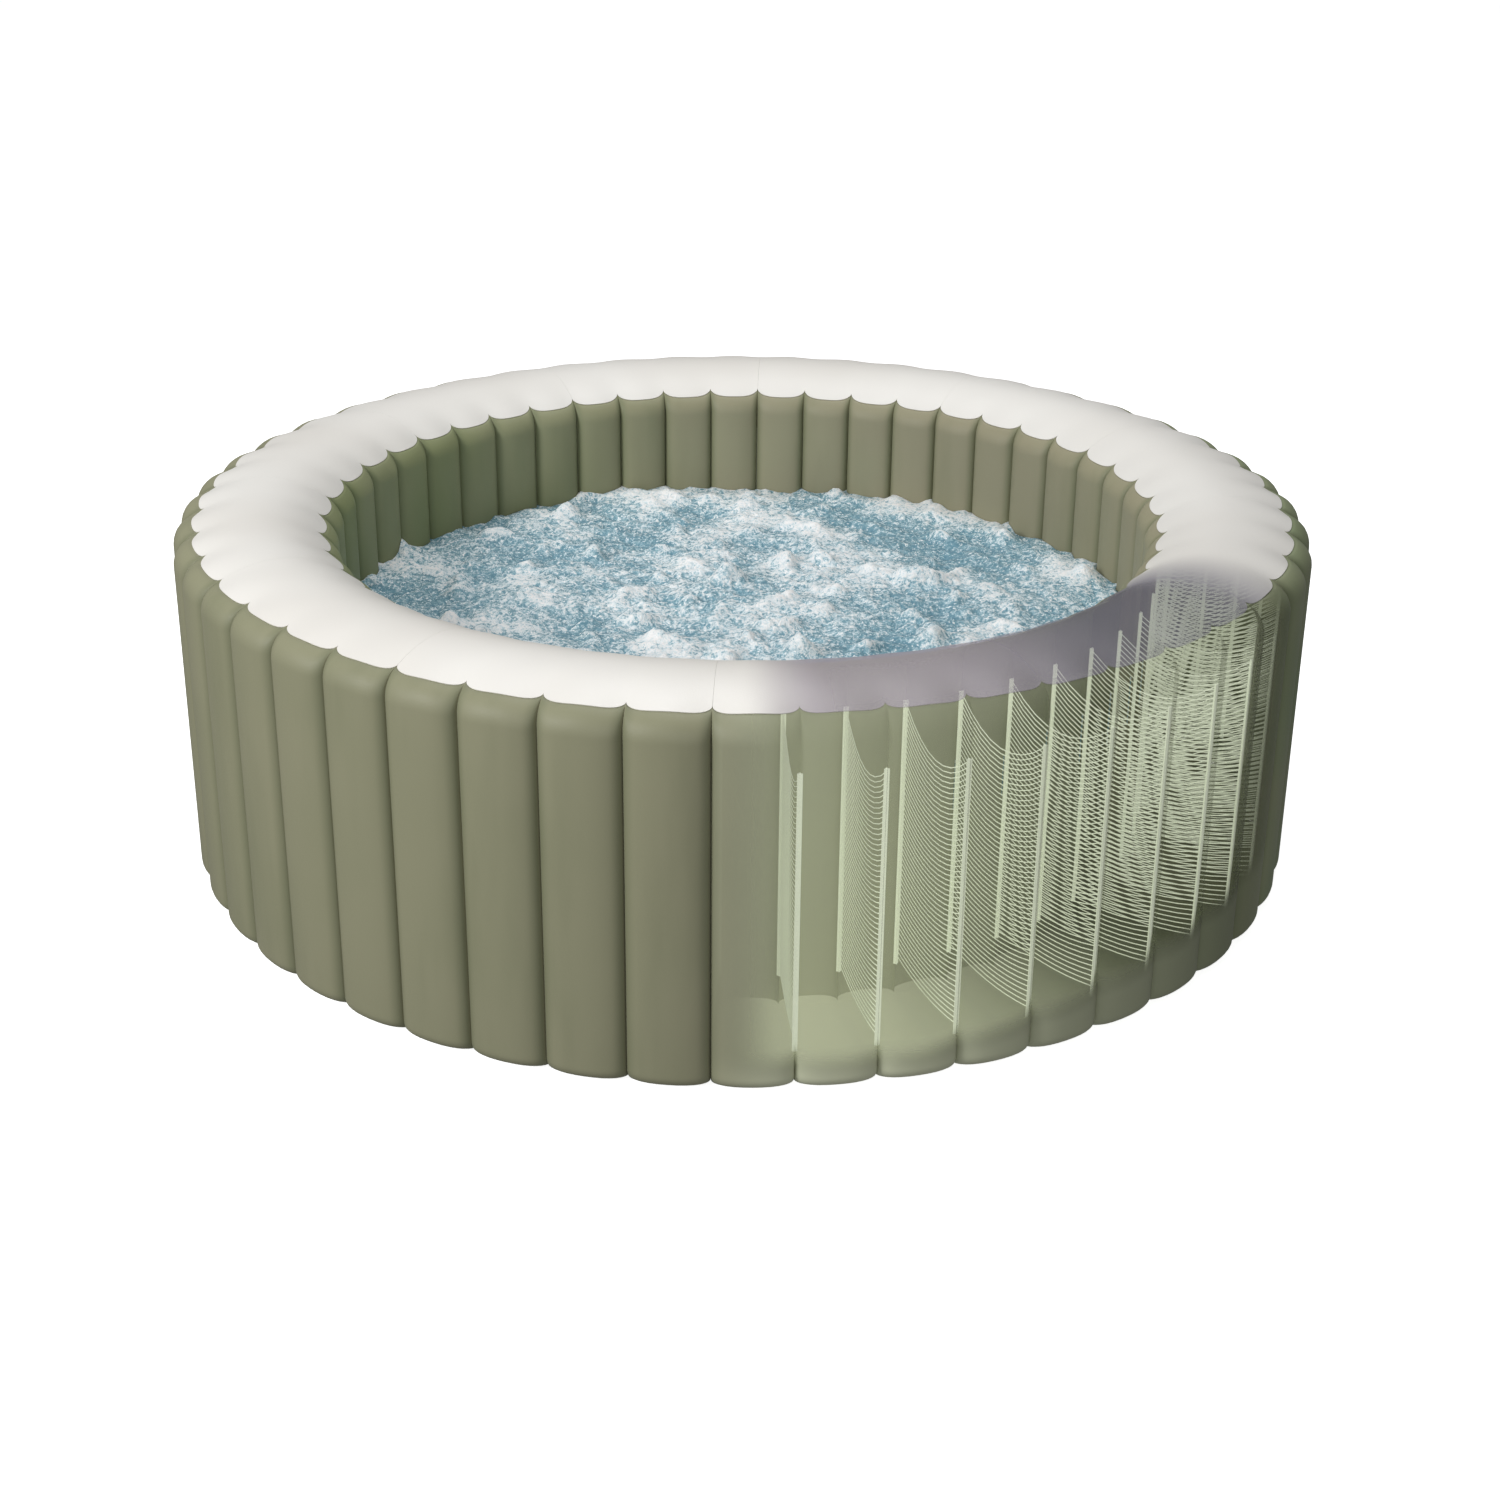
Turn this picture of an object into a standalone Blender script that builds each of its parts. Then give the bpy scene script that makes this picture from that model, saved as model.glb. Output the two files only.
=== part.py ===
"""Round inflatable hot tub: welded fluted skins, tension webs, and wall fittings.

Metres, +Z up, the tub stands on z = 0 around the Z axis, and its front faces -Y.
"""
from math import asin, cos, pi, radians, sin

import bmesh
import bpy
from mathutils import Matrix, Vector

# ---- tub size ----
HEIGHT = 0.685               # ground to the rim's crown
OUTER_CREST_R = 1.080        # outer wall, at the middle of a flute
OUTER_VALLEY_R = 1.053       # outer wall, in the crease between two flutes
INNER_CREST_R = 0.773        # inner wall, at the middle of a flute
INNER_VALLEY_R = 0.798       # inner wall, in the crease between two flutes
CROWN_R = 0.927              # circle that the rim's crown runs along
FLUTES = 48
FLUTE_SIDE = 0.15            # share of a flute's width that each sloping side takes
CROWN_CREASE = (0.190, 0.200)   # arc over the crown, in the creases: inner side, outer side
CROWN_CREST = (0.210, 0.305)    # and at the flutes' middles
SHOULDER = (0.045, 0.042)    # arc from the rim's edge down to the straight wall
FOOT_R = 0.025               # radius of the outer wall's rounded foot

# ---- sheet and seams ----
SHEET = 0.0015
GAP = 0.0003                 # between two touching pieces
SEAM_CREASE = (0.111, 0.097) # rim edge's distance from the crown circle, in the creases
SEAM_CREST = (0.1325, 0.117) # and at the flutes' middles: inner side, outer side
LAP = 0.013                  # how far the wall runs on under the rim
CURL = (0, 0.33, 0.62, 0.90) # rows up the shoulder, the last at the seam groove
OUTER_SPLIT = (0, 11, 16, 32, 48)   # flutes at which the outer wall's panels meet
INNER_PANELS = 12            # the rim has a panel over each inner wall panel
INNER_SPLIT = tuple(range(0, FLUTES + 1, FLUTES // INNER_PANELS))
FLOOR_R = 0.802

# ---- tension webs ----
WEB_THICK = 0.0006
WEB_LOW, WEB_HIGH = 0.061, 0.561
WEB_BAND_H = 0.030           # band that ties a set of webs together
WEB_CLEAR = 0.0008

# ---- bubble channel ----
CHANNEL_OUT_R, CHANNEL_TOP_R, CHANNEL_FOOT_R = 0.770, 0.742, 0.722
CHANNEL_H = 0.045

# ---- wall fittings ----
PORT_ANGLE = 90.0
AIR_Z, OUTLET_Z, INLET_Z = 0.120, 0.220, 0.320
VALVE_ANGLE, VALVE_Z = 82.5, 0.415
PORT_BORE, PORT_TUBE_R = 0.016, 0.020
PORT_FLANGE_R, PORT_NUT_R = 0.042, 0.033
FLANGE_T = 0.006
NUT_T = 0.008
STUB_OUT = 0.040             # tube end beyond the outer flange's back
STUB_IN = 0.022              # tube end beyond the inner wall
HOLE_CLEAR = 0.0008
HOLE_REACH = 0.020           # the hole cutters' half length
CAP_WALL = 0.005
SEAL_T = 0.0025
CAP_CLEAR = 0.0012
STRAINER_R, STRAINER_LONG, STRAINER_HOLE = 0.030, 0.034, 0.007
STRAINER_NOSE, STRAINER_WALL = 0.006, 0.004
RISER_W, RISER_T = 0.044, 0.018
RISER_TAPER = 0.004
VALVE_BORE, VALVE_NECK_R, VALVE_DEPTH, VALVE_WALL = 0.021, 0.025, 0.040, 0.004
EDGE = 0.002                 # bevel on the moulded fittings
SEAL_LIP = 0.0005            # seal ring's step back from the bore
GRIP_DEPTH = 0.0016
SIDES = 20                   # facets round a fitting
GRIPS = 24                   # facets round a cap

STEP = 2 * pi / FLUTES
FIRST_CREASE = radians(-3.75)

GREEN = (0.135, 0.145, 0.092, 1)
WHITE = (0.78, 0.77, 0.74, 1)
PALE = (0.62, 0.66, 0.55, 1)
GREY = (0.30, 0.31, 0.31, 1)
DARK = (0.03, 0.03, 0.035, 1)


def clear_scene():
    for obj in list(bpy.data.objects):
        bpy.data.objects.remove(obj, do_unlink=True)


def material_for(name, colour, rough, metal=0.0):
    mat = bpy.data.materials.new("mat_" + name)
    mat.use_nodes = True
    shader = mat.node_tree.nodes["Principled BSDF"]
    shader.inputs["Base Color"].default_value = colour
    shader.inputs["Roughness"].default_value = rough
    shader.inputs["Metallic"].default_value = metal
    mat.diffuse_color = colour
    return mat


def make_object(name, verts, faces, colour, rough, sharp=40.0):
    mesh = bpy.data.meshes.new(name)
    mesh.from_pydata([tuple(v) for v in verts], [], faces)
    tidy = bmesh.new()
    tidy.from_mesh(mesh)
    bmesh.ops.recalc_face_normals(tidy, faces=tidy.faces)
    tidy.to_mesh(mesh)
    tidy.free()
    mesh.shade_smooth()
    mesh.set_sharp_from_angle(angle=radians(sharp))
    mesh.materials.append(material_for(name, colour, rough))
    obj = bpy.data.objects.new(name, mesh)
    bpy.context.scene.collection.objects.link(obj)
    return obj


# ---- the tub's cross-section: x is the distance from the crown circle ----

def half_width(outer, bulge):
    """Half width of the chamber, from the crease (bulge 0) to the crest (bulge 1)."""
    if outer:
        return OUTER_VALLEY_R - CROWN_R + (OUTER_CREST_R - OUTER_VALLEY_R) * bulge
    return CROWN_R - INNER_VALLEY_R + (INNER_VALLEY_R - INNER_CREST_R) * bulge


def between(pair_crease, pair_crest, outer, bulge):
    crease, crest = pair_crease[outer], pair_crest[outer]
    return crease + (crest - crease) * bulge


def on_crown(outer, bulge, x, inset):
    """Point on the arc over the crown, x out from the crown circle before the inset."""
    radius = between(CROWN_CREASE, CROWN_CREST, outer, bulge)
    slope = asin(x / radius)
    return (radius - inset) * sin(slope), HEIGHT - radius + (radius - inset) * cos(slope)


def on_shoulder(outer, bulge, share, inset):
    """Point on the arc from the wall (share 0) up to the rim's edge (share 1)."""
    radius = SHOULDER[outer]
    centre = half_width(outer, bulge) - radius
    seam = between(SEAM_CREASE, SEAM_CREST, outer, bulge)
    last = asin((seam - centre) / radius)
    drop = on_crown(outer, bulge, seam, 0)[1] - radius * cos(last)
    slope = pi / 2 + (last - pi / 2) * share
    return centre + (radius - inset) * sin(slope), drop + (radius - inset) * cos(slope)


def on_foot(width, turn, inset):
    reach = FOOT_R - inset
    return width - FOOT_R + reach * cos(turn), FOOT_R + reach * sin(turn)


def wall_top(outer, bulge, inset):
    """From the top of the straight wall to the end of the lap under the rim."""
    seam, under = between(SEAM_CREASE, SEAM_CREST, outer, bulge), SHEET + GAP
    curl = [on_shoulder(outer, bulge, share, inset) for share in CURL]
    return curl + [on_crown(outer, bulge, x, under + inset) for x in (seam, seam - LAP)]


def outer_wall_section(bulge, inset):
    width = half_width(True, bulge)
    foot = [on_foot(width, turn, inset) for turn in (-pi / 2, -pi / 4, 0.0)]
    return foot + wall_top(True, bulge, inset)


def inner_wall_section(bulge, inset):
    foot = (half_width(False, bulge) - inset, SHEET + GAP)
    return [(-x, z) for x, z in [foot] + wall_top(False, bulge, inset)]


def rim_section(bulge, inset):
    """From the outer edge, over the crown, to the inner edge, with a row where each lap ends."""
    halves = []
    for outer in (True, False):
        seam = between(SEAM_CREASE, SEAM_CREST, outer, bulge)
        xs = (seam, seam - LAP, (seam - LAP) / 2)
        halves.append([on_crown(outer, bulge, x, inset) for x in xs])
    return halves[0] + [(0.0, HEIGHT - inset)] + [(-x, z) for x, z in halves[1][::-1]]


def flute_columns(first_flute, flutes, end_gap_r):
    """(angle, bulge) for each column of a panel, held back by the gap at both ends."""
    start = FIRST_CREASE + first_flute * STEP
    columns = []
    for flute in range(flutes):
        for share, bulge in ((0.0, 0.0), (FLUTE_SIDE, 1.0), (1 - FLUTE_SIDE, 1.0)):
            columns.append((start + (flute + share) * STEP, bulge))
    columns.append((start + flutes * STEP, 0.0))
    if end_gap_r:
        back = GAP / 2 / end_gap_r
        columns[0] = (columns[0][0] + back, 0.0)
        columns[-1] = (columns[-1][0] - back, 0.0)
    return columns


def swept_sheet(name, section, columns, closed, colour, rough):
    """A closed sheet of even thickness, swept round the tub along its columns.

    Every panel splits its quads from the lower row up to the higher row of the next
    column, so that sheets lying on one another follow the same facets.
    """
    rows = len(section(0.0, 0.0))
    verts, faces = [], []
    for angle, bulge in columns:
        for inset in (0.0, SHEET):
            for x, z in section(bulge, inset):
                radius = CROWN_R + x
                verts.append((radius * cos(angle), radius * sin(angle), z))
    count = len(columns)
    ring = 2 * rows
    loop = list(range(rows)) + list(range(ring - 1, rows - 1, -1))
    for c in range(count if closed else count - 1):
        here, there = c * ring, (c + 1) % count * ring
        for k in range(ring):
            a, b = loop[k], loop[(k + 1) % ring]
            if verts[here + a][2] > verts[here + b][2]:
                a, b = b, a
            faces.append((here + a, there + a, there + b))
            faces.append((here + a, there + b, here + b))
    if not closed:
        for base in (0, (count - 1) * ring):
            for k in range(rows - 1):
                faces.append((base + k, base + k + 1, base + rows + k + 1, base + rows + k))
    return make_object(name, verts, faces, colour, rough, sharp=35.0)


# ---- fittings ----

def radial_frame(angle, z):
    """Frame whose X axis points straight out of the tub at this angle and height."""
    return Matrix.Translation((0, 0, z)) @ Matrix.Rotation(radians(angle), 4, "Z")


def wall_faces():
    """Distance from the tub's axis to the flat of a flute: outer and inner wall."""
    flat = cos((0.5 - FLUTE_SIDE) * STEP)
    return OUTER_CREST_R * flat, INNER_CREST_R * flat


def turned(name, frame, profile, colour, rough, sides=SIDES, grip=None):
    """Body of revolution about the frame's X axis from a closed (x, radius) profile.

    With a grip, the rows in that set are pulled in on every second facet.
    """
    verts, faces = [], []
    rows = len(profile)
    for s in range(sides):
        turn = 2 * pi * (s + 0.5) / sides
        for row, (x, radius) in enumerate(profile):
            if grip and row in grip and s % 2:
                radius -= GRIP_DEPTH
            verts.append(frame @ Vector((x, radius * cos(turn), radius * sin(turn))))
    for s in range(sides):
        here, there = s * rows, (s + 1) % sides * rows
        for k in range(rows):
            n = (k + 1) % rows
            if profile[k][1] > 0 or profile[n][1] > 0:
                faces.append((here + k, here + n, there + n, there + k))
    obj = make_object(name, verts, faces, colour, rough)
    weld = bmesh.new()
    weld.from_mesh(obj.data)
    bmesh.ops.remove_doubles(weld, verts=weld.verts, dist=1e-6)
    bmesh.ops.dissolve_degenerate(weld, edges=weld.edges, dist=1e-6)
    bmesh.ops.recalc_face_normals(weld, faces=weld.faces)
    weld.to_mesh(obj.data)
    weld.free()
    return obj


def cut_round_hole(obj, frame, radius, near, far):
    """Cut a round hole through the object along the frame's X axis."""
    cutter = turned("hole_cutter", frame, [(near, 0), (near, radius), (far, radius), (far, 0)],
                    GREY, 0.5)
    cut = obj.modifiers.new("hole", "BOOLEAN")
    cut.operation, cut.solver, cut.object = "DIFFERENCE", "EXACT", cutter
    depsgraph = bpy.context.evaluated_depsgraph_get()
    cut_mesh = bpy.data.meshes.new_from_object(obj.evaluated_get(depsgraph))
    obj.modifiers.clear()
    skin = obj.data.materials[0]
    obj.data = cut_mesh
    cut_mesh.materials.clear()
    cut_mesh.materials.append(skin)
    spare = cutter.data.materials[0]
    bpy.data.objects.remove(cutter, do_unlink=True)
    bpy.data.materials.remove(spare)


def screw_cap(prefix, frame, face, bore, neck_r, stub):
    """Screw cap over a neck that ends at face + stub, with the seal ring inside it."""
    end = face + stub
    turned(prefix + "_seal", frame,
           [(end + GAP, bore + SEAL_LIP), (end + GAP, neck_r), (end + GAP + SEAL_T, neck_r),
            (end + GAP + SEAL_T, bore + SEAL_LIP)], DARK, 0.7)
    inner = neck_r + CAP_CLEAR
    outer = inner + CAP_WALL
    foot = face + FLANGE_T + 3 * GAP
    roof = end + 2 * GAP + SEAL_T
    top = roof + CAP_WALL
    turned(prefix, frame,
           [(foot, inner), (foot, outer), (top - EDGE, outer), (top, outer - EDGE), (top, 0),
            (roof, 0), (roof, inner)], GREY, 0.45, sides=GRIPS, grip={1, 2})


def through_tube(name, frame, inner_end):
    """Tube through both walls, with the flange that seats on the outer wall."""
    outer_face, _ = wall_faces()
    back = outer_face + GAP
    front = back + FLANGE_T
    end = outer_face + STUB_OUT
    turned(name, frame,
           [(inner_end, PORT_BORE), (inner_end, PORT_TUBE_R), (back, PORT_TUBE_R),
            (back, PORT_FLANGE_R), (front - EDGE, PORT_FLANGE_R),
            (front, PORT_FLANGE_R - EDGE), (front, PORT_TUBE_R), (end, PORT_TUBE_R),
            (end, PORT_BORE)], GREY, 0.45)


def flange_nut(name, frame):
    """Nut that clamps the inner wall round the tube."""
    _, inner_face = wall_faces()
    near, far = inner_face - GAP - NUT_T, inner_face - GAP
    hole = PORT_TUBE_R + HOLE_CLEAR
    turned(name, frame,
           [(near, hole), (near, PORT_NUT_R - EDGE), (near + EDGE, PORT_NUT_R),
            (far, PORT_NUT_R), (far, hole)], GREY, 0.45)


def strainer(name, frame):
    """Push-on cup strainer over the tube's inner end, with a hole in its nose."""
    _, inner_face = wall_faces()
    mouth = inner_face - 2 * GAP - NUT_T
    nose = mouth - STRAINER_LONG
    inner = PORT_TUBE_R + CAP_CLEAR
    turned(name, frame,
           [(mouth, inner), (mouth, STRAINER_R), (nose + STRAINER_NOSE, STRAINER_R),
            (nose, STRAINER_R - STRAINER_NOSE), (nose, STRAINER_HOLE),
            (nose + STRAINER_WALL, STRAINER_HOLE), (nose + STRAINER_WALL, inner)], GREY, 0.5)


def build_skins():
    made = []
    for prefix, split, section, gap_r, colour, rough in (
            ("outer_wall_panel_", OUTER_SPLIT, outer_wall_section, OUTER_VALLEY_R, GREEN, 0.42),
            ("inner_wall_panel_", INNER_SPLIT, inner_wall_section, INNER_VALLEY_R, GREEN, 0.42),
            ("rim_panel_", INNER_SPLIT, rim_section, CROWN_R, WHITE, 0.38)):
        panels = []
        for number, (first, last) in enumerate(zip(split, split[1:]), 1):
            columns = flute_columns(first, last - first, gap_r)
            panels.append(swept_sheet("%s%02d" % (prefix, number), section, columns, False,
                                      colour, rough))
        made.append(panels)
    return made[0], made[1]


def build_base():
    """Flat ring under the air chamber, then the pool floor inside it."""
    verts, faces = [], []
    columns = flute_columns(0, FLUTES, None)[:-1]
    for angle, bulge in columns:
        outer = CROWN_R + half_width(True, bulge) - FOOT_R - GAP
        for radius in (FLOOR_R + GAP, outer):
            for z in (0.0, SHEET):
                verts.append((radius * cos(angle), radius * sin(angle), z))
    count = len(columns)
    for c in range(count):
        a, b = 4 * c, 4 * ((c + 1) % count)
        for i, j in ((0, 1), (1, 3), (3, 2), (2, 0)):
            faces.append((a + i, a + j, b + j, b + i))
    make_object("base_ring", verts, faces, GREEN, 0.5)

    verts = [(FLOOR_R * cos(angle), FLOOR_R * sin(angle), z)
             for z in (0.0, SHEET) for angle, _ in columns]
    faces = [tuple(range(count)), tuple(range(2 * count - 1, count - 1, -1))]
    faces += [(c, (c + 1) % count, count + (c + 1) % count, count + c) for c in range(count)]
    make_object("pool_floor", verts, faces, GREEN, 0.5)


def build_channel():
    """Bubble channel: a tube of four-sided section round the foot of the inner wall."""
    low, high = SHEET + GAP, SHEET + GAP + CHANNEL_H
    section = [(CHANNEL_FOOT_R, low), (CHANNEL_OUT_R, low), (CHANNEL_OUT_R, high),
               (CHANNEL_TOP_R, high)]
    verts, faces = [], []
    for c in range(FLUTES):
        angle = FIRST_CREASE + c * STEP
        verts += [(radius * cos(angle), radius * sin(angle), z) for radius, z in section]
    for c in range(FLUTES):
        a, b = 4 * c, 4 * ((c + 1) % FLUTES)
        faces += [(a + k, a + (k + 1) % 4, b + (k + 1) % 4, b + k) for k in range(4)]
    make_object("bubble_channel", verts, faces, PALE, 0.5)


def add_slab(verts, faces, corners):
    """Add a six-sided solid from four corners at its foot and four at its top."""
    base = len(verts)
    verts += corners
    for quad in ((0, 1, 2, 3), (4, 5, 6, 7), (0, 1, 5, 4), (1, 2, 6, 5), (2, 3, 7, 6),
                 (3, 0, 4, 7)):
        faces.append(tuple(base + k for k in quad))


def build_webs():
    """Tension webs on every crease, one set to an inner wall panel, tied by a top band."""
    near = INNER_VALLEY_R + SHEET + WEB_CLEAR
    far = OUTER_VALLEY_R - SHEET - WEB_CLEAR
    half = WEB_THICK / 2
    per_set = FLUTES // INNER_PANELS
    outline = ((near, -half), (near + WEB_THICK, -half), (far, -half), (far, half),
               (near + WEB_THICK, half), (near, half))
    points = len(outline)
    levels = (WEB_LOW, WEB_HIGH - WEB_BAND_H, WEB_HIGH)

    def at(web, level, point):
        return (web * len(levels) + level) * points + point

    for number in range(INNER_PANELS):
        verts, faces = [], []
        for web in range(per_set):
            angle = FIRST_CREASE + (number * per_set + web) * STEP
            if web == 0:
                angle += WEB_CLEAR / near
            turn = Matrix.Rotation(angle, 3, "Z")
            for level in levels:
                verts += [turn @ Vector((x, y, level)) for x, y in outline]
            faces.append(tuple(at(web, 0, p) for p in range(points)))
            faces.append(tuple(at(web, 2, p) for p in range(points)))
            for level in (0, 1):
                for p in range(points):
                    tied = (p == 0 and web > 0) or (p == 4 and web < per_set - 1)
                    if level == 1 and tied:
                        continue
                    q = (p + 1) % points
                    faces.append((at(web, level, p), at(web, level, q),
                                  at(web, level + 1, q), at(web, level + 1, p)))
            if web:
                for level in (1, 2):
                    faces.append((at(web - 1, level, 5), at(web - 1, level, 4),
                                  at(web, level, 1), at(web, level, 0)))
                for p, q in ((5, 0), (4, 1)):
                    faces.append((at(web - 1, 1, p), at(web, 1, q), at(web, 2, q),
                                  at(web - 1, 2, p)))
        make_object("tension_web_set_%02d" % (number + 1), verts, faces, PALE, 0.6)


def panel_at(angle, panels, split):
    flute = (radians(angle) - FIRST_CREASE) / STEP
    return panels[sum(first <= flute for first in split) - 1]


def build_ports(outer_panels, inner_panels):
    outer_face, inner_face = wall_faces()
    ports = (("water_outlet", OUTLET_Z), ("water_inlet", INLET_Z), ("air", AIR_Z))
    for prefix, z in ports:
        frame = radial_frame(PORT_ANGLE, z)
        inner_end = inner_face - (GAP if prefix == "air" else STUB_IN)
        through_tube(prefix + "_tube", frame, inner_end)
        screw_cap(prefix + "_cap", frame, outer_face, PORT_BORE, PORT_TUBE_R, STUB_OUT)
        if prefix != "air":
            flange_nut(prefix + "_nut", frame)
            strainer(prefix + "_strainer", frame)

    frame = radial_frame(VALVE_ANGLE, VALVE_Z)
    back = outer_face + GAP
    front = back + FLANGE_T
    neck = outer_face + STUB_OUT / 2
    blind = neck - VALVE_DEPTH
    turned("inflation_valve", frame,
           [(blind - VALVE_WALL, 0), (blind - VALVE_WALL, VALVE_NECK_R), (back, VALVE_NECK_R),
            (back, PORT_FLANGE_R), (front - EDGE, PORT_FLANGE_R),
            (front, PORT_FLANGE_R - EDGE), (front, VALVE_NECK_R), (neck, VALVE_NECK_R),
            (neck, VALVE_BORE), (blind, VALVE_BORE), (blind, 0)], GREY, 0.45)
    screw_cap("inflation_cap", frame, outer_face, VALVE_BORE, VALVE_NECK_R, STUB_OUT / 2)

    holes = [(PORT_ANGLE, z, PORT_TUBE_R, True) for _, z in ports]
    holes.append((VALVE_ANGLE, VALVE_Z, VALVE_NECK_R, False))
    for angle, z, radius, both in holes:
        frame = radial_frame(angle, z)
        hole = radius + HOLE_CLEAR
        cut_round_hole(panel_at(angle, outer_panels, OUTER_SPLIT), frame, hole,
                       outer_face - HOLE_REACH, outer_face + HOLE_REACH)
        if both:
            cut_round_hole(panel_at(angle, inner_panels, INNER_SPLIT), frame, hole,
                           inner_face - HOLE_REACH, inner_face + HOLE_REACH)


def build_riser():
    """Air riser: the duct from the air port down to the bubble channel."""
    _, inner_face = wall_faces()
    back = inner_face - 3 * GAP
    front = back - RISER_T
    low, high = SHEET + 2 * GAP + CHANNEL_H, AIR_Z + RISER_W / 2
    verts, faces = [], []
    half = RISER_W / 2
    foot = [(-half, front, low), (half, front, low), (half, back, low), (-half, back, low)]
    top = [(-half + RISER_TAPER, front + RISER_TAPER, high),
           (half - RISER_TAPER, front + RISER_TAPER, high), (half, back, high),
           (-half, back, high)]
    add_slab(verts, faces, foot + top)
    make_object("air_riser", verts, faces, PALE, 0.5)


def main():
    clear_scene()
    outer_panels, inner_panels = build_skins()
    build_base()
    build_channel()
    build_webs()
    build_ports(outer_panels, inner_panels)
    build_riser()


main()
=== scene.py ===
from math import asin, cos, pi, radians, sin

import bmesh
import bpy
import numpy as np
from mathutils import Matrix, Vector, noise


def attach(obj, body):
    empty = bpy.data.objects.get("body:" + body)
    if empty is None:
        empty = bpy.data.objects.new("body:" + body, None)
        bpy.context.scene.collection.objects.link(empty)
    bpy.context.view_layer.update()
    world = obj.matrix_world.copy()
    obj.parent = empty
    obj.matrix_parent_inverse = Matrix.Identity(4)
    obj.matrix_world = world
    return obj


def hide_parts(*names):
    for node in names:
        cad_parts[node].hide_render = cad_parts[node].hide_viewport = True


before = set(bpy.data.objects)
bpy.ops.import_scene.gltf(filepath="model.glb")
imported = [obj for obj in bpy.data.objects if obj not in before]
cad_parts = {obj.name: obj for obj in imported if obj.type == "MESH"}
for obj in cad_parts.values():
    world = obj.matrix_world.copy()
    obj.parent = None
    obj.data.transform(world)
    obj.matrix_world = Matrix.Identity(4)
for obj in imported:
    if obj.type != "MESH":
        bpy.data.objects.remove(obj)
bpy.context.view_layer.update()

# ---- sizes, the same as the CAD part's, except that the rim dips less in the creases ----
HEIGHT = 0.685
OUTER_CREST_R, OUTER_VALLEY_R = 1.080, 1.053
INNER_CREST_R, INNER_VALLEY_R = 0.773, 0.798
CROWN_R = 0.927
FLUTES = 48
CROWN_CREASE, CROWN_CREST = (0.197, 0.235), (0.210, 0.305)
SHOULDER = (0.045, 0.042)
SEAM_CREASE, SEAM_CREST = (0.111, 0.097), (0.1325, 0.117)
FOOT_R = 0.025
SHEET, GAP = 0.0015, 0.0003
LAP = 0.013
STEP = 2 * pi / FLUTES
START = radians(-3.75)
OUTER_SPLIT = (0, 11, 16, 32, 48)
INNER_PANELS = 12
INNER_SPLIT = tuple(range(0, FLUTES + 1, FLUTES // INNER_PANELS))
WEB_LOW, WEB_HIGH = 0.061, 0.561

# ---- looks ----
FLUTE_POWER = 2.4            # roundness of a flute's section
SOFT_POWER = 2.0             # roundness of the dips in the rim
THREADS = 50
THREAD_D = 0.0021
STRIP_W = 0.009
SAG_TOP, SAG_LOW = 0.050, 0.012
WATER_Z = 0.427
WATER_SKIRT = 0.09           # depth of the water's edge below its surface
WATER_RINGS = 96

# The see-through sector. Angles are in degrees round the tub, from +X towards +Y.
GHOST_START, GHOST_FULL, GHOST_FADE, GHOST_END = 264.5, 273.5, 320.0, 336.0
GHOST_SHARE = 0.85           # how far the sector's colour covers the sheet's own
OUTER_CLEAR = 0.90           # how see-through the outer wall is there
FOOT_CLEAR = (0.018, 0.085)  # heights over which the wall turns from solid to clear
FOOT_LIFT = (285.0, 335.0, 0.0, 0.11)     # angles over which those heights rise, from and to
SHADE_OVER = (282.0, 330.0)  # angles over which painted shade darkens the air chamber's sheets in the sector
GLOW_OVER = (275.0, 325.0)   # angles over which their glow dies away
WALL_GLOW, FLOOR_GLOW, THREAD_GLOW = 0.17, 0.62, 0.30
RIM_LATE = 4.0               # degrees by which the rim turns clear later than the wall
RIM_OVER = (286.0, 312.0)    # angles over which the rim gets clearer, and bluer and darker with painted shade
RIM_CLEAR = (0.60, 0.74)


def srgb(r, g, b):
    """Linear colour from 0-255 display values."""
    out = []
    for v in (r, g, b):
        v /= 255
        out.append(v / 12.92 if v <= 0.04045 else ((v + 0.055) / 1.055) ** 2.4)
    return (*out, 1.0)


# ---------------------------------------------------------------- materials

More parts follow.
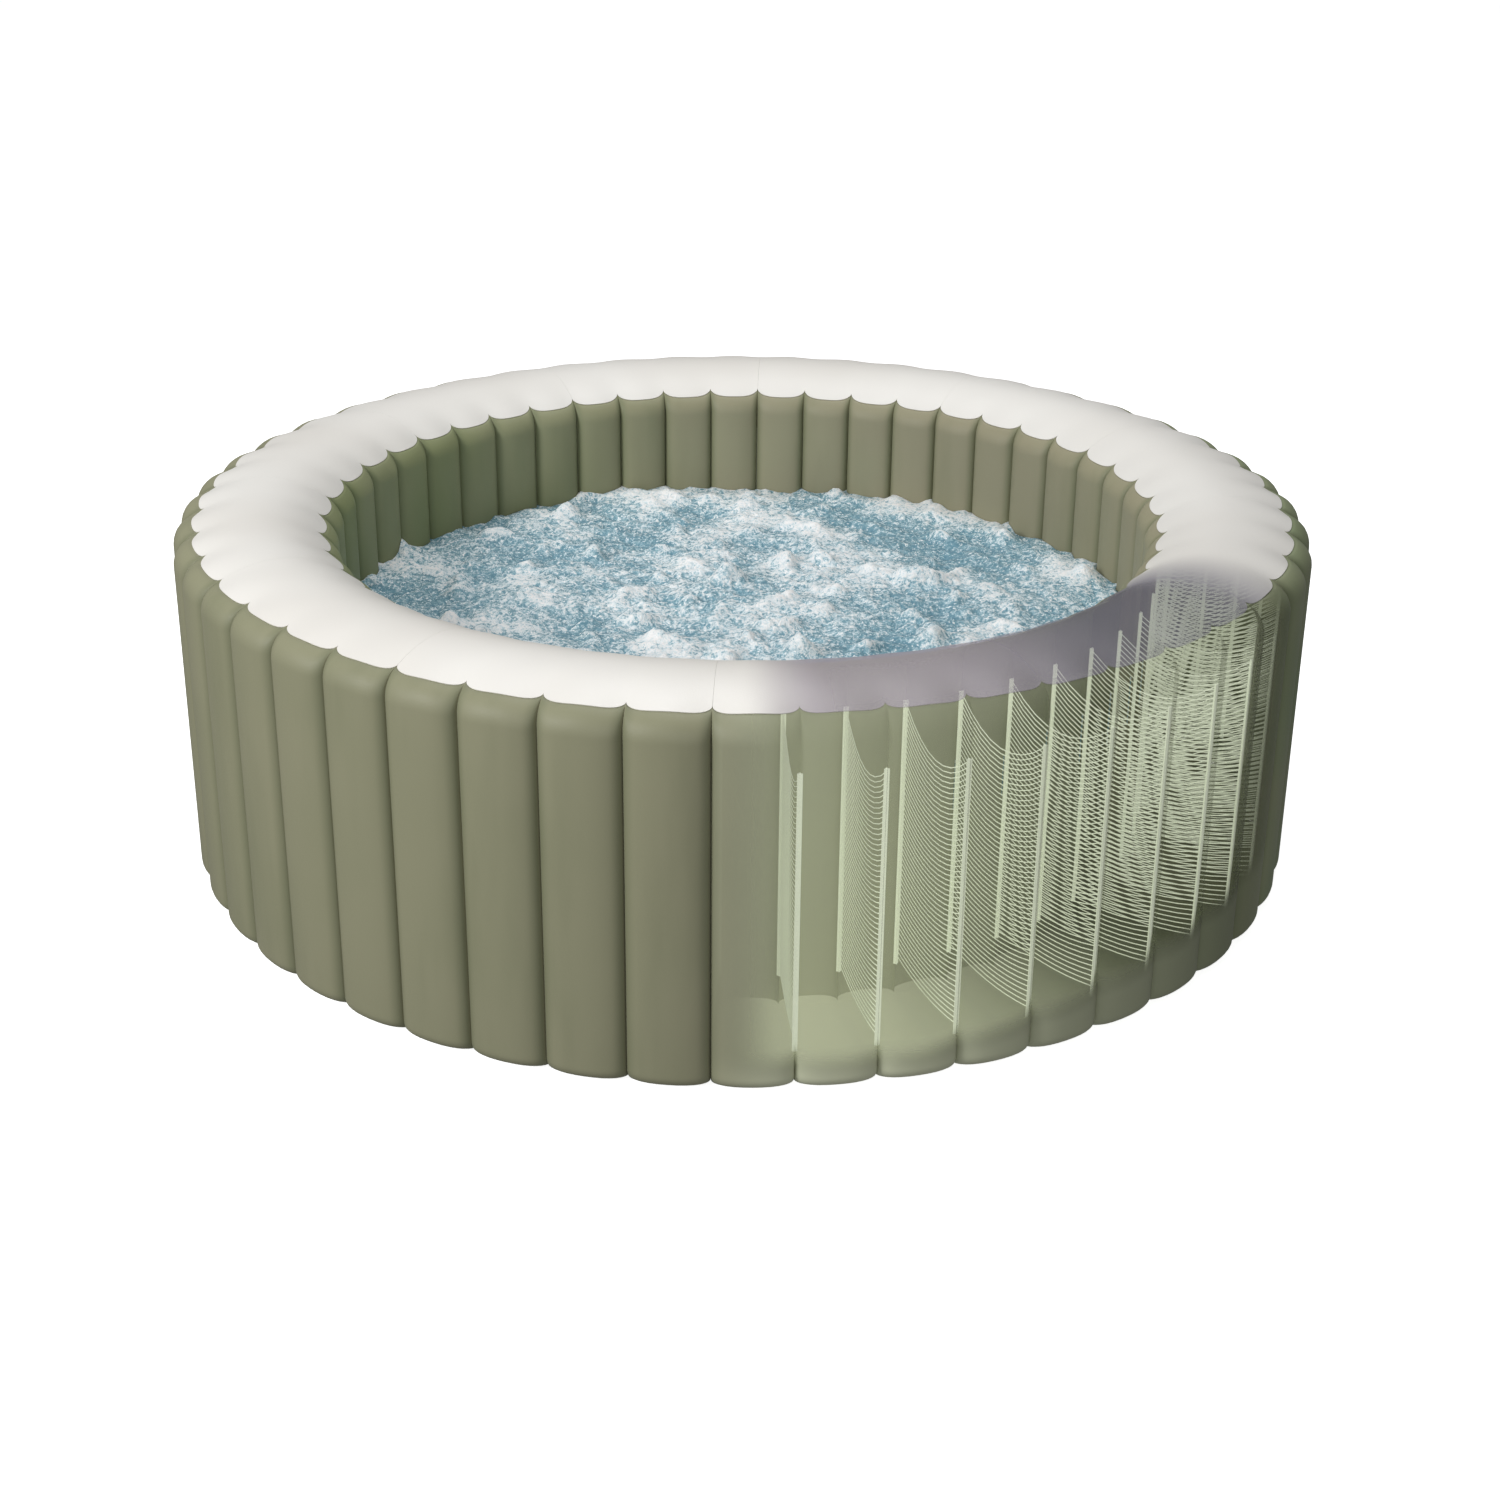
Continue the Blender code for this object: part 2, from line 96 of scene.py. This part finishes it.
class Graph:
    """A short way to write a material's nodes."""

    def __init__(self, name):
        self.mat = bpy.data.materials.new(name)
        self.mat.use_nodes = True
        self.tree = self.mat.node_tree
        self.shader = self.tree.nodes["Principled BSDF"]
        self.coords = self.node("ShaderNodeTexCoord").outputs["Object"]

    def node(self, kind, **settings):
        made = self.tree.nodes.new(kind)
        for key, value in settings.items():
            setattr(made, key, value)
        return made

    def put(self, source, target):
        if hasattr(source, "links"):
            self.tree.links.new(source, target)
        else:
            target.default_value = source

    def math(self, operation, a, b=0.0, c=0.0, clamp=False):
        made = self.node("ShaderNodeMath", operation=operation, use_clamp=clamp)
        for value, socket in zip((a, b, c), made.inputs):
            self.put(value, socket)
        return made.outputs[0]

    def noise(self, scale, detail=3.0, rough=0.5, stretch=(1, 1, 1), distortion=0.0):
        place = self.node("ShaderNodeMapping")
        place.inputs["Scale"].default_value = stretch
        self.put(self.coords, place.inputs["Vector"])
        made = self.node("ShaderNodeTexNoise")
        self.put(place.outputs[0], made.inputs["Vector"])
        made.inputs["Scale"].default_value = scale
        made.inputs["Detail"].default_value = detail
        made.inputs["Roughness"].default_value = rough
        made.inputs["Distortion"].default_value = distortion
        return made.outputs["Fac"]

    def ramp(self, value, stops):
        made = self.node("ShaderNodeValToRGB")
        bar = made.color_ramp
        while len(bar.elements) < len(stops):
            bar.elements.new(0.5)
        for element, (place, colour) in zip(bar.elements, stops):
            element.position = place
            element.color = colour if hasattr(colour, "__len__") else (colour,) * 3 + (1,)
        self.put(value, made.inputs[0])
        return made.outputs[0]

    def span(self, value, low, high, out_low=0.0, out_high=1.0, smooth=True):
        made = self.node("ShaderNodeMapRange")
        made.interpolation_type = "SMOOTHSTEP" if smooth else "LINEAR"
        for key, v in (("Value", value), ("From Min", low), ("From Max", high),
                       ("To Min", out_low), ("To Max", out_high)):
            self.put(v, made.inputs[key])
        return made.outputs["Result"]

    def mix(self, factor, a, b):
        made = self.node("ShaderNodeMix", data_type="RGBA")
        self.put(factor, made.inputs[0])
        self.put(a, made.inputs[6])
        self.put(b, made.inputs[7])
        return made.outputs[2]

    def bump(self, height, distance, strength=1.0):
        made = self.node("ShaderNodeBump")
        made.inputs["Distance"].default_value = distance
        made.inputs["Strength"].default_value = strength
        self.put(height, made.inputs["Height"])
        self.put(made.outputs[0], self.shader.inputs["Normal"])

    def xyz(self):
        made = self.node("ShaderNodeSeparateXYZ")
        self.put(self.coords, made.inputs[0])
        return made.outputs[0], made.outputs[1], made.outputs[2]

    def turn(self):
        """Angle round the tub in degrees, 0 to 360 from +X towards +Y."""
        x, y, _ = self.xyz()
        angle = self.math("MULTIPLY", self.math("ARCTAN2", y, x), 180 / pi)
        return self.math("FLOORED_MODULO", angle, 360.0)

    def radius(self):
        x, y, _ = self.xyz()
        return self.math("SQRT", self.math("ADD", self.math("MULTIPLY", x, x),
                                           self.math("MULTIPLY", y, y)))

    def crease(self, width):
        """1 at a crease between two flutes, falling to 0 at this share of a flute away."""
        angle = self.math("DIVIDE", self.math("ADD", self.turn(), 3.75), 7.5)
        share = self.math("FRACT", angle)
        away = self.math("SUBTRACT", 0.5, self.math("ABSOLUTE",
                                                    self.math("SUBTRACT", share, 0.5)))
        return self.span(away, 0.0, width, 1.0, 0.0)

    def sector(self, late=0.0):
        """1 inside the see-through sector, 0 outside, with soft ends.

        late moves the start on by this many degrees.
        """
        angle = self.turn()
        rise = self.span(angle, GHOST_START + late, GHOST_FULL + late)
        fall = self.span(angle, GHOST_FADE, GHOST_END, 1.0, 0.0)
        return self.math("MULTIPLY", rise, fall)

    def finish(self, colour, rough):
        self.put(colour, self.shader.inputs["Base Color"])
        self.put(rough, self.shader.inputs["Roughness"])
        return self.mat


def green_vinyl(name, base, deep, light, ghost, clear=0.0, glow=WALL_GLOW, side=None):
    """Laminated green sheet: soft mottling, painted shade darkening it towards the creases, a weld
    line in them.

    In the see-through sector it turns to the ghost colour, and is either clear or glows.
    side is a painted shade: a darker colour for the wall's shaded side, the x where it is full and
    the x where it has gone.
    """
    g = Graph(name)
    patches = g.noise(3.2, 2.0, 0.5)
    streaks = g.noise(9.0, 3.0, 0.55, stretch=(1, 1, 0.18))
    grain = g.noise(420.0, 2.0, 0.6)
    # painted shade: the base darkens towards one side of the tub, where the wall faces away from
    # the key light
    if side:
        tint, full, none = side
        base = g.mix(g.span(g.xyz()[0], full, none), tint, base)
    colour = g.mix(g.span(patches, 0.3, 0.7, 0.0, 0.5), base, light)
    colour = g.mix(g.span(streaks, 0.45, 0.75, 0.0, 0.22), colour, deep)
    # painted shade: the colour turns deeper towards each crease, where shade falls between the
    # flutes
    colour = g.mix(g.math("MULTIPLY", g.crease(0.16), 0.45), colour, deep)
    colour = g.mix(g.math("MULTIPLY", g.crease(0.022), 0.6), colour, light)
    # painted shade: the sector's ghost colour darkens further round the tub, as on the shaded side
    shade = g.mix(g.span(g.turn(), *SHADE_OVER, smooth=False), ghost, srgb(84, 94, 66))
    colour = g.mix(g.math("MULTIPLY", g.sector(), GHOST_SHARE), colour, shade)
    if clear:
        lift = g.span(g.turn(), *FOOT_LIFT, smooth=False)
        rise = g.span(g.math("SUBTRACT", g.xyz()[2], lift), *FOOT_CLEAR)
        seen = g.math("MULTIPLY", g.math("MULTIPLY", g.sector(), rise), clear)
        g.put(g.math("SUBTRACT", 1.0, seen), g.shader.inputs["Alpha"])
    else:
        g.put(ghost, g.shader.inputs["Emission Color"])
        fade = g.math("MULTIPLY", g.sector(), g.span(g.turn(), *GLOW_OVER, glow, 0.0))
        g.put(fade, g.shader.inputs["Emission Strength"])
    g.bump(g.math("ADD", g.math("MULTIPLY", grain, 0.4), streaks), 0.0009, 0.45)
    mat = g.finish(colour, g.span(grain, 0.3, 0.7, 0.50, 0.62))
    g.shader.inputs["Specular IOR Level"].default_value = 0.35
    return mat


def white_vinyl():
    """The rim's sheet: painted shade greys it towards the basin's side; clear and bluish in the
    sector, where painted shade darkens it further round.
    """
    g = Graph("vinyl_white")
    patches = g.noise(2.4, 2.0, 0.5)
    colour = g.mix(g.span(patches, 0.3, 0.7), srgb(229, 227, 222), srgb(222, 219, 213))
    # painted shade: greyer towards the inner edge, where the rim slopes down away from the light
    inner = g.span(g.radius(), 0.90, 0.80)
    colour = g.mix(g.math("MULTIPLY", inner, 0.22), colour, srgb(196, 194, 190))
    seen = g.sector(late=RIM_LATE)
    # painted shade: the sector's lavender turns to a dark blue further round, standing for the
    # shade under the rim
    tint = g.mix(g.span(g.turn(), *RIM_OVER), srgb(172, 160, 178), srgb(118, 114, 142))
    colour = g.mix(g.math("MULTIPLY", seen, GHOST_SHARE), colour, tint)
    grain = g.noise(380.0, 2.0, 0.6)
    g.bump(grain, 0.0006, 0.4)
    clear = g.math("MULTIPLY", seen, g.span(g.turn(), *RIM_OVER, *RIM_CLEAR))
    g.put(g.math("SUBTRACT", 1.0, clear), g.shader.inputs["Alpha"])
    mat = g.finish(colour, g.span(grain, 0.3, 0.7, 0.36, 0.50))
    g.shader.inputs["Specular IOR Level"].default_value = 0.4
    return mat


def thread_fabric(name, base, deep):
    g = Graph(name)
    twist = g.noise(900.0, 2.0, 0.5, stretch=(1, 1, 2.5))
    colour = g.mix(g.span(twist, 0.3, 0.7), base, deep)
    g.bump(twist, 0.0004, 0.5)
    g.put(base, g.shader.inputs["Emission Color"])
    g.put(THREAD_GLOW, g.shader.inputs["Emission Strength"])
    return g.finish(colour, g.span(twist, 0.3, 0.7, 0.5, 0.7))


def foam_water():
    """Bubbling water: white foam on the peaks and in patches, with fine sparkle."""
    g = Graph("foamy_water")
    _, _, z = g.xyz()
    broad = g.noise(4.2, 4.0, 0.62, distortion=0.6)
    fine = g.noise(90.0, 4.0, 0.8, distortion=0.4)
    sparkle = g.noise(170.0, 2.0, 0.8)
    high = g.span(z, WATER_Z - 0.012, WATER_Z + 0.024)
    foam = g.math("ADD", g.math("MULTIPLY", high, 0.52),
                  g.math("MULTIPLY", g.span(broad, 0.40, 0.66), 0.44))
    foam = g.math("ADD", foam, g.math("MULTIPLY", g.math("SUBTRACT", fine, 0.48), 3.0),
                  clamp=True)
    foam = g.math("ADD", foam, g.span(sparkle, 0.56, 0.68, 0.0, 0.8), clamp=True)
    colour = g.ramp(foam, [(0.0, srgb(106, 150, 168)), (0.3, srgb(152, 188, 201)),
                           (0.55, srgb(222, 234, 239)), (1.0, srgb(255, 255, 255))])
    height = g.math("ADD", g.math("MULTIPLY", fine, 1.0), g.math("MULTIPLY", sparkle, 0.5))
    g.bump(height, 0.010, 0.7)
    mat = g.finish(colour, g.span(foam, 0.0, 1.0, 0.12, 0.55))
    g.shader.inputs["IOR"].default_value = 1.33
    return mat


def moulded(name, base, deep, rough):
    """Moulded plastic or rubber, a little cloudy, with a fine grain."""
    g = Graph(name)
    speck = g.noise(260.0, 3.0, 0.6)
    cloud = g.noise(18.0, 2.0, 0.5)
    colour = g.mix(g.span(cloud, 0.35, 0.65), base, deep)
    g.bump(speck, 0.0004, 0.5)
    return g.finish(colour, g.span(speck, 0.3, 0.7, rough - 0.05, rough + 0.07))


# ---------------------------------------------------------------- mesh helpers

def mesh_object(name, verts, faces, mat, body, sharp):
    """A smooth shaded mesh that rides with a body of the CAD part."""
    mesh = bpy.data.meshes.new(name)
    mesh.from_pydata([tuple(v) for v in verts], [], faces)
    tidy = bmesh.new()
    tidy.from_mesh(mesh)
    bmesh.ops.recalc_face_normals(tidy, faces=tidy.faces)
    tidy.to_mesh(mesh)
    tidy.free()
    mesh.shade_smooth()
    mesh.set_sharp_from_angle(angle=radians(sharp))
    mesh.materials.append(mat)
    obj = bpy.data.objects.new(name, mesh)
    bpy.context.scene.collection.objects.link(obj)
    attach(obj, body)
    return obj


# ---- the tub's section, as in the CAD ----

def half_width(outer, bulge):
    if outer:
        return OUTER_VALLEY_R - CROWN_R + (OUTER_CREST_R - OUTER_VALLEY_R) * bulge
    return CROWN_R - INNER_VALLEY_R + (INNER_VALLEY_R - INNER_CREST_R) * bulge


def between(pair_crease, pair_crest, outer, bulge):
    crease, crest = pair_crease[outer], pair_crest[outer]
    return crease + (crest - crease) * bulge


def on_crown(outer, soft, x, inset):
    """Point on the arc over the crown, x out from the crown circle before the inset."""
    radius = between(CROWN_CREASE, CROWN_CREST, outer, soft)
    slope = asin(x / radius)
    return (radius - inset) * sin(slope), HEIGHT - radius + (radius - inset) * cos(slope)


def on_shoulder(outer, at, share, inset):
    """Point on the arc from the wall (share 0) up to the rim's edge (share 1)."""
    bulge, soft, lobe = at
    radius = SHOULDER[outer]
    centre = half_width(outer, bulge) - radius
    seam = between(SEAM_CREASE, SEAM_CREST, outer, lobe)
    last = asin(max((seam - centre) / radius, 0.02))
    drop = on_crown(outer, soft, seam, 0)[1] - radius * cos(last)
    centre = seam - radius * sin(last) + (half_width(outer, bulge) - radius
                                          - seam + radius * sin(last)) * (1 - share)
    slope = pi / 2 + (last - pi / 2) * share
    return centre + (radius - inset) * sin(slope), drop + (radius - inset) * cos(slope)


def wall_section(outer, at, inset):
    """From the foot of a wall, up it and over the shoulder, to the lap under the rim."""
    bulge, soft, lobe = at
    width, under = half_width(outer, bulge), SHEET + GAP
    if outer:
        reach = FOOT_R - inset
        turns = [-pi / 2 + pi / 2 * k / 8 for k in range(9)]
        line = [(width - FOOT_R + reach * cos(t), FOOT_R + reach * sin(t)) for t in turns]
    else:
        line = [(width - inset, under)]
    low = line[-1][1]
    high = on_shoulder(outer, at, 0, 0)[1]
    line += [(width - inset, low + (high - low) * k / 4) for k in (1, 2, 3)]
    line += [on_shoulder(outer, at, k / 14, inset) for k in range(14)]
    seam = between(SEAM_CREASE, SEAM_CREST, outer, lobe)
    line += [on_crown(outer, soft, x, under + inset) for x in (seam + 0.0002, seam - LAP)]
    return [(x if outer else -x, z) for x, z in line]


def rim_section(at, inset):
    """From the outer seam over the crown to the inner seam."""
    halves = []
    for outer in (True, False):
        seam = between(SEAM_CREASE, SEAM_CREST, outer, at[2])
        halves.append([on_crown(outer, at[1], seam * (1 - k / 13), inset) for k in range(13)])
    return halves[0] + [(0.0, HEIGHT - inset)] + [(-x, z) for x, z in halves[1][::-1]]


SHARES = [0, .006, .018, .038, .07, .12, .19, .28, .39, .5]
SHARES = SHARES + [1 - s for s in SHARES[-2:0:-1]]


def rounded(share, power):
    """0 at a flute's ends and 1 at its middle."""
    return max(1 - abs(2 * share - 1) ** power, 0.0) ** (1 / power)


def columns(first, last):
    """(angle, (bulge of the wall, of the rim's surface and of its edge)) for a panel's columns."""
    out = [(START + (flute + share) * STEP,
            (rounded(share, FLUTE_POWER), sin(pi * share) ** SOFT_POWER, rounded(share, 2.0)))
           for flute in range(first, last) for share in SHARES]
    out.append((START + last * STEP, (0.0, 0.0, 0.0)))
    back = GAP / 2 / CROWN_R
    out[0] = (out[0][0] + back, (0.0, 0.0, 0.0))
    out[-1] = (out[-1][0] - back, (0.0, 0.0, 0.0))
    return out


def skin(name, section, cols, mat, nodes):
    """A closed sheet of even thickness swept round the tub."""
    verts, faces = [], []
    for angle, at in cols:
        c, s = cos(angle), sin(angle)
        for inset in (0.0, SHEET):
            for x, z in section(at, inset):
                verts.append(((CROWN_R + x) * c, (CROWN_R + x) * s, z))
    n = len(section((0.0, 0.0, 0.0), 0.0))
    ring = 2 * n
    loop = list(range(n)) + list(range(ring - 1, n - 1, -1))
    for k in range(len(cols) - 1):
        a0, b0 = k * ring, (k + 1) * ring
        for j in range(ring):
            a, b = loop[j], loop[(j + 1) % ring]
            faces.append((a0 + a, b0 + a, b0 + b, a0 + b))
    for base in (0, (len(cols) - 1) * ring):
        for k in range(n - 1):
            faces.append((base + k, base + k + 1, base + n + k + 1, base + n + k))
    obj = mesh_object(name, verts, faces, mat, "tub", sharp=50.0)
    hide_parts(*nodes)
    return obj


# ---------------------------------------------------------------- pieces

def build_skins(mats):
    for split, prefix, section, mat, slot in (
            (OUTER_SPLIT, "outer_wall", lambda *at: wall_section(True, *at), "outer",
             "green_sheet"),
            (INNER_SPLIT, "inner_wall", lambda *at: wall_section(False, *at), "inner",
             "green_sheet"),
            (INNER_SPLIT, "rim", rim_section, "rim", "white_sheet")):
        for number, (first, last) in enumerate(zip(split, split[1:]), 1):
            piece = skin("%s_%02d" % (prefix, number), section, columns(first, last), mats[mat],
                         ["%s_panel_%02d" % (prefix, number)])


def prism(verts, faces, path, section):
    """Add a rod along a path. section holds its corners' offsets from the path."""
    base = len(verts)
    n = len(section)
    for p in path:
        verts.extend(p + off for off in section)
    for k in range(len(path) - 1):
        for j in range(n):
            a, b = base + k * n + j, base + k * n + (j + 1) % n
            faces.append((a, b, b + n, a + n))
    faces.append(tuple(base + j for j in range(n)))
    faces.append(tuple(base + (len(path) - 1) * n + j for j in range(n)))


def build_web(angle, verts, faces):
    """One tension web: a strip on each wall, and sagging threads between them."""
    out = Vector((cos(angle), sin(angle), 0))
    side = Vector((-sin(angle), cos(angle), 0))
    up = Vector((0, 0, 1))
    near, far = INNER_VALLEY_R + SHEET + 0.0014, OUTER_VALLEY_R - SHEET - 0.0014
    for radius, hem in ((near, 1), (far, -1)):
        t, w, h = 0.0006, STRIP_W / 2, 0.0045 * hem
        section = [out * -t * hem + side * -w, out * -t * hem + side * w,
                   out * t * hem + side * w, out * (t * hem + 0.0012 * hem) + side * 0.0018,
                   out * h + side * 0.0011, out * h + side * -0.0011,
                   out * (t * hem + 0.0012 * hem) + side * -0.0018, out * t * hem + side * -w]
        path = [out * radius + up * z for z in np.linspace(WEB_LOW, WEB_HIGH, 6)]
        prism(verts, faces, path, section)
    steps = 8
    for t in range(THREADS):
        share = t / (THREADS - 1)
        z = WEB_LOW + 0.018 + (WEB_HIGH - WEB_LOW - 0.024) * share
        sag = SAG_LOW + (SAG_TOP - SAG_LOW) * share
        sag = min(sag, z - WEB_LOW)
        path = []
        for k in range(steps + 1):
            s = k / steps
            radius = near + 0.0038 + (far - near - 0.0076) * s
            path.append(out * radius + up * (z - 4 * sag * s * (1 - s)))
        r = THREAD_D / 2
        section = [up * r, side * r * 0.87 - up * r * 0.5, side * -r * 0.87 - up * r * 0.5]
        prism(verts, faces, path, section)


def build_webs(mat):
    per_set = FLUTES // INNER_PANELS
    for number in range(INNER_PANELS):
        verts, faces = [], []
        for crease in range(number * per_set, (number + 1) * per_set):
            build_web(START + crease * STEP, verts, faces)
        name = "%02d" % (number + 1)
        obj = mesh_object("web_threads_" + name, verts, faces, mat, "tub", sharp=50.0)
        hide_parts("tension_web_set_" + name)


def build_water(mat):
    """A churning pool surface that follows the inner wall's flutes."""
    shares = [0, .03, .1, .22, .36, .5, .64, .78, .9, .97]
    cols = [(START + (f + s) * STEP, rounded(s, FLUTE_POWER))
            for f in range(FLUTES) for s in shares]
    rings = WATER_RINGS
    verts = [(0.0, 0.0, WATER_Z)]
    for ring in range(1, rings + 1):
        t = ring / rings
        for angle, bulge in cols:
            edge = CROWN_R - half_width(False, bulge) - 0.0015
            r = t * (edge * t ** 6 + 0.772 * (1 - t ** 6))
            p = Vector((r * cos(angle), r * sin(angle), 0))
            lift = noise.fractal(p * 5.0 + Vector((3.1, 0, 1.7)), 0.9, 2.1, 4) * 0.016
            chop = noise.fractal(p * 34 + Vector((0, 5.2, 0)), 0.8, 2.2, 3) * 0.0065
            peak = max(0.0, noise.noise(p * 15 + Vector((9, 2, 4)))) ** 2 * 0.055
            verts.append((p.x, p.y, WATER_Z + lift + chop + peak))
    n = len(cols)
    verts[0] = (0.0, 0.0, sum(verts[1 + k][2] for k in range(n)) / n)
    low = WATER_Z - WATER_SKIRT
    verts += [(v[0], v[1], low) for v in verts[1 + (rings - 1) * n:1 + rings * n]]
    faces = [(0, 1 + k, 1 + (k + 1) % n) for k in range(n)]
    for ring in range(rings):
        a, b = 1 + ring * n, 1 + (ring + 1) * n
        faces += [(a + k, b + k, b + (k + 1) % n, a + (k + 1) % n) for k in range(n)]
    faces.append(tuple(1 + rings * n + k for k in range(n)))
    mesh_object("water_surface", verts, faces, mat, "tub", sharp=75.0)


def finish_cad_nodes(mats):
    """Give the CAD solids that stay in view their materials."""
    for name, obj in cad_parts.items():
        if obj.hide_render:
            continue
        if name in ("base_ring", "pool_floor"):
            mat = mats["floor"]
        elif name in ("bubble_channel", "air_riser"):
            mat = mats["channel"]
        elif name.endswith("seal"):
            mat = mats["rubber"]
        else:
            mat = mats["plastic"]
        obj.data.materials.clear()
        obj.data.materials.append(mat)


# ---------------------------------------------------------------- stage

def build_stage():
    size = 30.0
    mesh = bpy.data.meshes.new("studio_floor")
    mesh.from_pydata([(-size, -size, -0.0005), (size, -size, -0.0005), (size, size, -0.0005),
                      (-size, size, -0.0005)], [], [(0, 1, 2, 3)])
    floor = bpy.data.objects.new("studio_floor", mesh)
    bpy.context.scene.collection.objects.link(floor)
    g = Graph("studio_white")
    g.finish((0.93, 0.93, 0.93, 1), 0.9)
    g.shader.inputs["Specular IOR Level"].default_value = 0.0
    g.shader.inputs["Emission Color"].default_value = (1, 1, 1, 1)
    g.shader.inputs["Emission Strength"].default_value = 0.80
    floor.visible_diffuse = floor.visible_glossy = False
    mesh.materials.append(g.mat)

    world = bpy.data.worlds.new("studio")
    world.use_nodes = True
    world.node_tree.nodes["Background"].inputs[0].default_value = (1, 1, 1, 1)
    world.node_tree.nodes["Background"].inputs[1].default_value = 0.22
    bpy.context.scene.world = world

    def area(name, place, target, width, power, colour=(1, 1, 1)):
        lamp = bpy.data.lights.new(name, "AREA")
        lamp.shape, lamp.size, lamp.size_y = "RECTANGLE", width, width
        lamp.energy, lamp.color = power, colour
        obj = bpy.data.objects.new(name, lamp)
        bpy.context.scene.collection.objects.link(obj)
        obj.location = place
        aim = Vector(target) - Vector(place)
        obj.rotation_euler = aim.to_track_quat("-Z", "Y").to_euler()

    area("key", (-4.6, -3.4, 3.4), (0, 0, 0.3), 1.8, 240)
    area("fill", (0.2, -6.0, 2.4), (0, 0, 0.3), 2.6, 75)
    area("top", (0.2, 1.2, 5.0), (0, 0, 0.3), 3.0, 120)


def build_camera():
    """The viewpoint, fitted to the creases' places in the frame."""
    k, lift, yaw = 1.0227, 0.005, radians(-0.92)
    dist, elev, roll = 4.6809 * k, radians(24.342), 0.005
    target_z, side = 0.1227 * k + lift, -0.0337 * k
    ahead = Vector((0, cos(elev), -sin(elev)))
    right = Vector((1, 0, 0))
    up = right.cross(ahead)
    right, up = (cos(roll) * right + sin(roll) * up, -sin(roll) * right + cos(roll) * up)
    place = Vector((side, -dist * cos(elev), target_z + dist * sin(elev)))
    turn = Matrix.Rotation(yaw, 4, "Z")
    axes = Matrix((right, up, -ahead)).transposed().to_4x4()
    data = bpy.data.cameras.new("camera")
    data.sensor_width = 36.0
    data.lens = 2362.35 / 1500 * 36
    data.shift_x = (750 - 722.69) / 1500
    data.shift_y = -(750 - 748.12) / 1500
    data.clip_end = 200
    obj = bpy.data.objects.new("camera", data)
    bpy.context.scene.collection.objects.link(obj)
    obj.matrix_world = turn @ Matrix.Translation(place) @ axes
    bpy.context.scene.camera = obj


def main():
    bpy.context.scene.view_settings.view_transform = "Standard"
    green, deep, light = srgb(137, 137, 111), srgb(98, 104, 78), srgb(146, 144, 119)
    ghost = srgb(176, 179, 154)
    mats = {
        # the side colours are painted shade: the outer wall's right-hand side and the inner wall's
        # left-hand side, both away from the key light
        "outer": green_vinyl("vinyl_green_outer", green, deep, light, ghost=srgb(200, 204, 176),
                             clear=OUTER_CLEAR, side=(srgb(118, 133, 98), 1.02, 0.78)),
        "inner": green_vinyl("vinyl_green_inner", srgb(144, 139, 115), srgb(94, 104, 72),
                             srgb(148, 148, 120), ghost=ghost,
                             side=(srgb(124, 132, 92), -0.75, 0.10)),
        "rim": white_vinyl(),
        "floor": green_vinyl("vinyl_green_floor", green, deep, light, ghost=ghost,
                             glow=FLOOR_GLOW),
        "web": thread_fabric("web_fabric", srgb(240, 246, 224), srgb(220, 230, 200)),
        "water": foam_water(),
        "channel": moulded("channel_vinyl", srgb(196, 204, 182), srgb(178, 188, 162), 0.5),
        "plastic": moulded("port_plastic", srgb(150, 152, 150), srgb(134, 136, 134), 0.42),
        "rubber": moulded("seal_rubber", srgb(42, 42, 44), srgb(30, 30, 32), 0.7),
    }
    build_skins(mats)
    build_webs(mats["web"])
    build_water(mats["water"])
    finish_cad_nodes(mats)
    build_stage()
    build_camera()


main()
